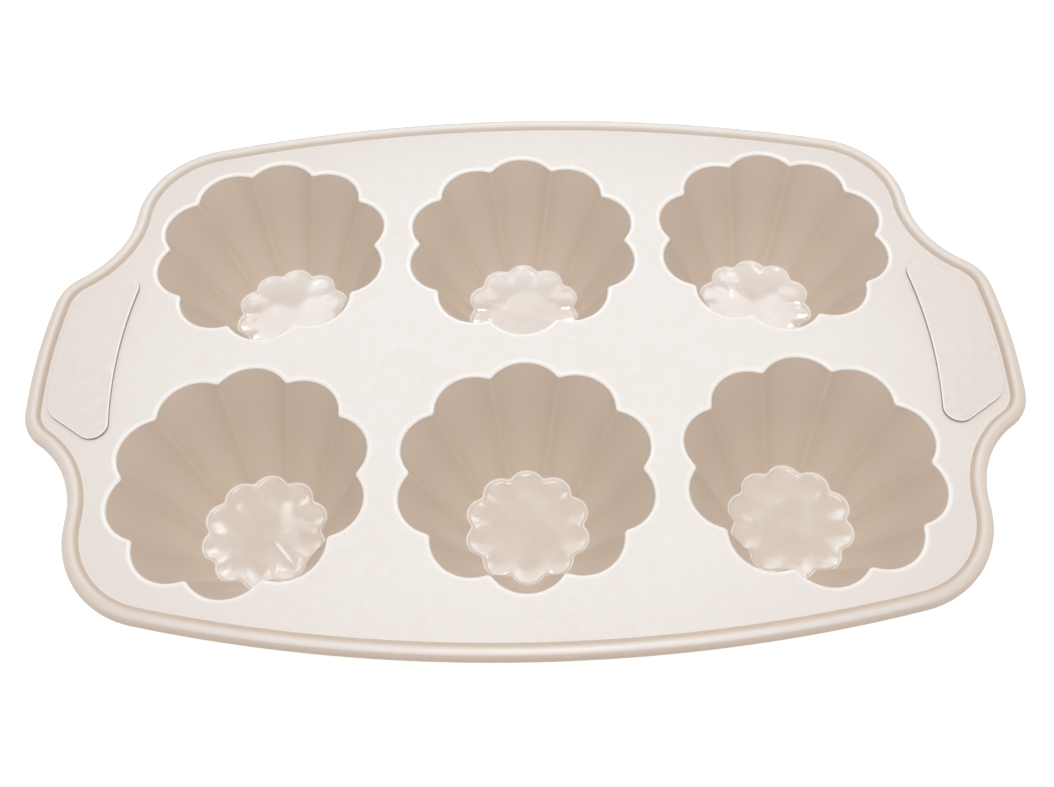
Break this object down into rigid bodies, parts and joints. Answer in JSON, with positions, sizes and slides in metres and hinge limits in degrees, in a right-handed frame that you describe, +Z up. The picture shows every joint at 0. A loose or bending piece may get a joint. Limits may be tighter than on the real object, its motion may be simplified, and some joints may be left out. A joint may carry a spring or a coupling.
{
  "type": "silicone muffin pan",
  "caption": "Flexible baking pan: fluted tapered cups hang from a flat deck with a rolled bead rim and a raised grip pad on the tab at each end.",
  "frame": {"origin": "on the surface the pan stands on, under the middle of the deck", "axes": "+X along the pan from the left handle tab to the right one, +Y to the back, +Z up out of the cups' mouths"},
  "size_m": [0.3, 0.1986, 0.0399],
  "materials": {
    "silicone": "satin cream-beige silicone, glossier and warmer inside the cups",
    "grip": "matte cream-beige silicone",
    "steel": "plain drawn wire"
  },
  "bodies": {
    "root": {"cup_front_left": "silicone", "cup_front_middle": "silicone", "cup_front_right": "silicone", "cup_back_left": "silicone", "cup_back_middle": "silicone", "cup_back_right": "silicone", "deck": "silicone", "rim_bead": "silicone", "left_grip_pad": "grip", "right_grip_pad": "grip", "rim_wire": "steel"}
  },
  "joints": []
}
